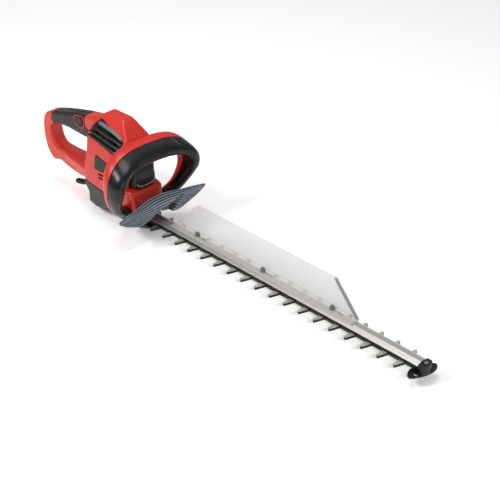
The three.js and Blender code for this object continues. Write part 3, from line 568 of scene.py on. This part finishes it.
def strip(name, path, radius, flat, material, closed):
    """A bead along a path, flattened in the direction `flat`."""
    points = [Vector(p) for p in path]
    count = len(points)
    rings = []
    for k in range(count):
        before = points[(k - 1) % count] if closed else points[max(k - 1, 0)]
        after = points[(k + 1) % count] if closed else points[min(k + 1, count - 1)]
        along = (after - before).normalized()
        out = along.cross(Vector(flat)).normalized()
        across = out.cross(along).normalized()
        ring = []
        for i in range(BEAD_SIDES):
            angle = math.tau * i / BEAD_SIDES
            sideways = out * radius * math.cos(angle)
            ring.append(points[k] + sideways + across * radius * BEAD_FLATNESS * math.sin(angle))
        rings.append(ring)
    if closed:
        rings.append(rings[0])
    return lofted(name, rings, material, closed_ends=not closed)


# The outline round the lock button, in x and z on the grip's right face.
GRIP_FACE_Y = -17.1
BUTTON_FRAME = [
    (-243, 140),
    (-242.5, 152),
    (-243, 162.5),
    (-254, 162.5),
    (-265, 161),
    (-271, 157),
    (-273, 151),
    (-270, 144),
    (-262, 139),
    (-252, 138),
]
frame_path = catmull(BUTTON_FRAME + BUTTON_FRAME[:1], 5)[:-1]
frame_points = [(x, GRIP_FACE_Y, z) for x, z in frame_path]
button_frame = strip("button_frame", frame_points, 1.0, (0, 1, 0), RED, True)
on_tool(button_frame, "red_plastic")

# The pale edge under the paddle, in y and z on its front face.
PADDLE_FACE_X = -75.2
LIP_LINE = [(-22, 79), (-19, 74.5), (-13, 72), (0, 71), (13, 72.2), (19, 74.5), (22, 79)]
lip_points = [(PADDLE_FACE_X, y, z) for y, z in catmull(LIP_LINE, 6)]
paddle_lip = strip("paddle_lip", lip_points, 1.1, (1, 0, 0), LIP, False)
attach(paddle_lip, "front_switch_bar")

# ---------------------------------------------------------------- bail handle

# Stations from the top middle to a foot: centre x, y and z, half-depth, half-thickness, how far the
# depth leans up, and the thickening of the red part's inner side.
BAIL = [
    (-72, 0, 147, 28, 13, 0.55, 1),
    (-71, 22, 147, 28, 13, 0.55, 1),
    (-68, 44, 146, 28, 13, 0.5, 1),
    (-63, 65, 142, 28, 13, 0.42, 1.1),
    (-58, 82, 132, 27.5, 13, 0.3, 1.3),
    (-55, 93, 117, 27, 13, 0.18, 1.45),
    (-56, 96, 100, 25, 12.5, 0.1, 1.6),
    (-61, 94, 82, 20, 12, 0.05, 1.6),
    (-68, 87, 62, 16, 11, 0, 1.5),
    (-75, 75, 44, 13.5, 10.5, 0, 1.2),
    (-84, 58, 30, 12, 10, 0, 1),
    (-92, 38, 21, 11.5, 10, 0, 1),
]
RED_SHARE = 0.2  # where red meets black, as a share of the half-depth behind the middle
ROUNDNESS = 2.6  # exponent of the section: 2 is an ellipse, more is squarer
RED_OVERLAP, BLACK_OVERLAP = 0.5, -0.1


def bail_rings(rear, count):
    """Sections of the red rear part or of the black front part, open where the two meet."""
    side = [(x, -y, *rest) for x, y, *rest in reversed(BAIL[1:])]
    stations = catmull(side + BAIL, 6)
    rings = []
    for i, (x, y, z, depth, thick, rise, inner) in enumerate(stations):
        before = Vector(stations[max(i - 1, 0)][:3])
        after = Vector(stations[min(i + 1, len(stations) - 1)][:3])
        along = (after - before).normalized()
        depth_axis = Vector((-1, 0, rise)).normalized()
        thick_axis = along.cross(depth_axis).normalized()
        depth_axis = thick_axis.cross(along).normalized()
        edge = depth * RED_SHARE + (RED_OVERLAP if rear else BLACK_OVERLAP)
        start = math.acos((edge / depth) ** (ROUNDNESS / 2))
        low, high = (-start, start) if rear else (start, math.tau - start)
        ring = []
        for k in range(count):
            angle = low + (high - low) * k / (count - 1)
            c, s = math.cos(angle), math.sin(angle)
            v = depth * math.copysign(abs(c) ** (2 / ROUNDNESS), c)
            w = thick * math.copysign(abs(s) ** (2 / ROUNDNESS), s)
            if rear and s < 0:
                w *= inner
            ring.append(Vector((x, y, z)) + depth_axis * v + thick_axis * w)
        rings.append(ring)
    return rings


bail_grip = lofted("bail_grip_visual", bail_rings(False, 40), BAIL_GRIP)
bail_shell = lofted("bail_shell_visual", bail_rings(True, 24), RED)
for obj in (bail_grip, bail_shell):
    bevelled(obj, 0.0012, 3, 50)
on_tool(bail_grip, "soft_grip", "bail_grip")
on_tool(bail_shell, "red_plastic", "bail_shell")

# ---------------------------------------------------------------- hand guard

# Stations from the middle to the left wing: y, then x and z of the top, the crest and the lower edge.
GUARD = [
    (0, -48, 57, -22, 54, -42, 14),
    (14, -47.5, 57, -22, 54, -42, 14),
    (28, -45, 56.5, -24, 53, -40, 13),
    (42, -42, 55.5, -27, 52, -37, 12.5),
    (54, -39, 54, -28, 51, -36, 14),
    (72, -35, 53.5, -27, 50, -34, 21),
    (90, -31, 52.5, -25, 49, -30, 31),
    (103, -28, 51.5, -24, 48, -27.5, 40),
    (109, -27, 50.5, -24, 47.5, -26.5, 44),
]
GUARD_THICK = 2.2
GUARD_SAMPLES = 90  # points down a section
GUARD_SMOOTHING = 6
RIB_HEIGHT = 0.7
SHOULDER_SETBACK = 3  # the skin below the crest, from the crest's x
# Places on the skin are y across the tool and the share of the way down it. The arch is the lower
# edge over the blade. The one well is on the tool's left of the arch, below the crease.
ARCH = [(-24, 1.0), (-3, 0.66), (13, 1.0)]
CREASE = [(-3, 0.63), (27, 0.46), (40, 0.34), (60, 0.25)]
WELL_FAR_EDGE = [(60, 0.25), (46, 0.70), (34, 1.0)]
WELL_DEPTH = 6.5
WELL_SLOPE_DOWN = 0.025
WELL_SLOPE_ACROSS = 5


def along_line(points, value, axis):
    """The other coordinate of a polyline at a value, or None outside it."""
    other = 1 - axis
    for a, b in zip(points, points[1:]):
        low, high = sorted((a[axis], b[axis]))
        if low <= value <= high and high > low:
            t = (value - a[axis]) / (b[axis] - a[axis])
            return a[other] + (b[other] - a[other]) * t
    return None


def arch(y):
    """How far down the skin goes: all the way, or short of it over the blade."""
    share = along_line(ARCH, y, 0)
    return 1.0 if share is None else share


def well(y, s):
    """1 inside the well, 0 outside, and a narrow slope between."""
    crease = along_line(CREASE, y, 0)
    if crease is None:
        return 0.0
    far = along_line(WELL_FAR_EDGE, s, 1)
    edge = CREASE[-1][0] if far is None else far
    down = (s - crease) / WELL_SLOPE_DOWN
    across = (edge - y) / WELL_SLOPE_ACROSS
    return max(0.0, min(1.0, down, across))


def guard_point(station, s):
    """x and z on a station's outline, at a share s of the way down it."""
    _, top_x, top_z, crest_x, crest_z, low_x, low_z = station
    shoulder = (crest_x - SHOULDER_SETBACK, (crest_z * 2 + low_z) / 3)
    corners = [(top_x, top_z), (crest_x, crest_z), shoulder, (low_x, low_z)]
    lengths = [math.dist(a, b) for a, b in zip(corners, corners[1:])]
    travel = s * sum(lengths)
    span = 0
    while span < 2 and travel > lengths[span]:
        travel -= lengths[span]
        span += 1
    a, b = corners[span], corners[span + 1]
    t = travel / lengths[span]
    return a[0] + (b[0] - a[0]) * t, a[1] + (b[1] - a[1]) * t


def eased(line):
    """The line with each inner point moved towards its two neighbours."""
    inner = [
        ((a[0] + 2 * b[0] + c[0]) / 4, (a[1] + 2 * b[1] + c[1]) / 4)
        for a, b, c in zip(line, line[1:], line[2:])
    ]
    return [line[0], *inner, line[-1]]


def guard_section(station):
    """The ribbed outer skin down one section, and the back of the sheet up again."""
    y = station[0]
    depth = arch(y)
    shares = [depth * k / (GUARD_SAMPLES - 1) for k in range(GUARD_SAMPLES)]
    smooth = [guard_point(station, s) for s in shares]
    for _ in range(GUARD_SMOOTHING):
        smooth = eased(smooth)
    skin, back = [], []
    for k, (x, z) in enumerate(smooth):
        a = smooth[max(k - 1, 0)]
        b = smooth[min(k + 1, GUARD_SAMPLES - 1)]
        size = math.dist(a, b) or 1
        nx, nz = (b[1] - a[1]) / size, -(b[0] - a[0]) / size
        sunk = well(y, shares[k])
        ends = min(1.0, k / 3, (GUARD_SAMPLES - 1 - k) / 3)
        rib = RIB_HEIGHT * math.sin(shares[k] * math.tau * RIBS) * (1 - sunk) * ends
        # The outward side is the one away from the housing.
        outward = rib - sunk * WELL_DEPTH
        inward = GUARD_THICK + sunk * WELL_DEPTH
        skin.append((x - nx * outward, z - nz * outward))
        back.append((x + nx * inward, z + nz * inward))
    return [(x, y, z) for x, z in skin + back[::-1]]


def well_shade_split(y):
    """How far down the well its brown painted shade goes, before the near-black painted shade."""
    return 0.62 + 0.004 * (y - 10)


def build_guard():
    right_wing = [(-y, *rest) for y, *rest in reversed(GUARD[1:])]
    stations = catmull(right_wing + GUARD, 12)
    sections = [guard_section(station) for station in stations]
    guard = lofted("hand_guard_visual", sections, SMOKE)
    guard.data.materials.append(WELL_BROWN_SHADE)
    guard.data.materials.append(WELL_DEEP_SHADE)
    count = 2 * GUARD_SAMPLES
    for index, polygon in enumerate(guard.data.polygons):
        ring, k = divmod(index, count)
        if ring + 1 >= len(stations) or k >= GUARD_SAMPLES:
            continue
        y = stations[ring][0]
        s = arch(y) * k / (GUARD_SAMPLES - 1)
        # Faces inside the well get painted shade: brown above the split line, near black below it.
        if well(y, s) > 0.5:
            polygon.material_index = 1 if s < well_shade_split(y) else 2
    # The UV map holds the place across the guard, and the share of the way down it.
    rib_map = guard.data.uv_layers.new(name="ribs")
    for loop in guard.data.loops:
        ring, k = divmod(loop.vertex_index, count)
        step = min(k, count - 1 - k)
        y = stations[min(ring, len(stations) - 1)][0]
        rib_map.data[loop.index].uv = (y * 0.004 + 0.5, arch(y) * step / (GUARD_SAMPLES - 1))
    return guard


hand_guard = build_guard()
on_tool(hand_guard, "smoke_plastic", "hand_guard")

# ---------------------------------------------------------------- set and camera

FLOOR_HALF = 20
FLOOR_GLOW = 0.22  # keeps the floor near white
floor_corners = [(x * FLOOR_HALF, y * FLOOR_HALF, 0) for x, y in ((-1, -1), (1, -1), (1, 1), (-1, 1))]
floor_data = bpy.data.meshes.new("floor")
floor_data.from_pydata(floor_corners, [], [(0, 1, 2, 3)])
floor = bpy.data.objects.new("floor", floor_data)
bpy.context.scene.collection.objects.link(floor)
pale = Graph("pale_floor")
floor_data.materials.append(
    pale.shade(
        (0.93, 0.93, 0.93, 1),
        0.9,
        Emission_Color=(1, 1, 1, 1),
        Emission_Strength=FLOOR_GLOW,
        Specular_IOR_Level=0.1,
    )
)

scene = bpy.context.scene
world = bpy.data.worlds.new("studio")
world.use_nodes = True
background = world.node_tree.nodes["Background"]
background.inputs["Color"].default_value = (1, 1, 1, 1)
background.inputs["Strength"].default_value = 0.38
scene.world = world
scene.view_settings.view_transform = "Standard"

# The photograph's camera: the place it looks at, its distance from there and its lens, as fitted.
TARGET = place(211.56, 0, 47.52)
CAMERA_DISTANCE = 2.2188
CAMERA_LENS = 87.77
SENSOR_WIDTH = 36


def softbox(name, position, size, power):
    """A rectangular lamp that points at the target: size in metres, power in watts."""
    light = bpy.data.lights.new(name, "AREA")
    light.shape = "RECTANGLE"
    light.size, light.size_y = size
    light.energy = power
    obj = bpy.data.objects.new(name, light)
    obj.location = position
    obj.rotation_euler = (TARGET - Vector(position)).to_track_quat("-Z", "Y").to_euler()
    scene.collection.objects.link(obj)


softbox("key", (-0.7, -1.5, 1.8), (0.55, 0.4), 26)
softbox("top", (-0.2, 0.2, 2.3), (1.4, 1.0), 20)
softbox("front", (1.8, -0.9, 1.0), (0.8, 0.8), 9)

camera_data = bpy.data.cameras.new("camera")
camera_data.lens = CAMERA_LENS
camera_data.sensor_width = SENSOR_WIDTH
camera_data.clip_end = 100
camera = bpy.data.objects.new("camera", camera_data)
back = Vector((0.60217, -0.59714, 0.52992)).normalized()
right = Vector((0.70414, 0.71006, 0)).normalized()
up = back.cross(right).normalized()
turn = Matrix((right, up, back)).transposed().to_4x4()
camera.matrix_world = Matrix.Translation(TARGET + back * CAMERA_DISTANCE) @ turn
scene.collection.objects.link(camera)
scene.camera = camera
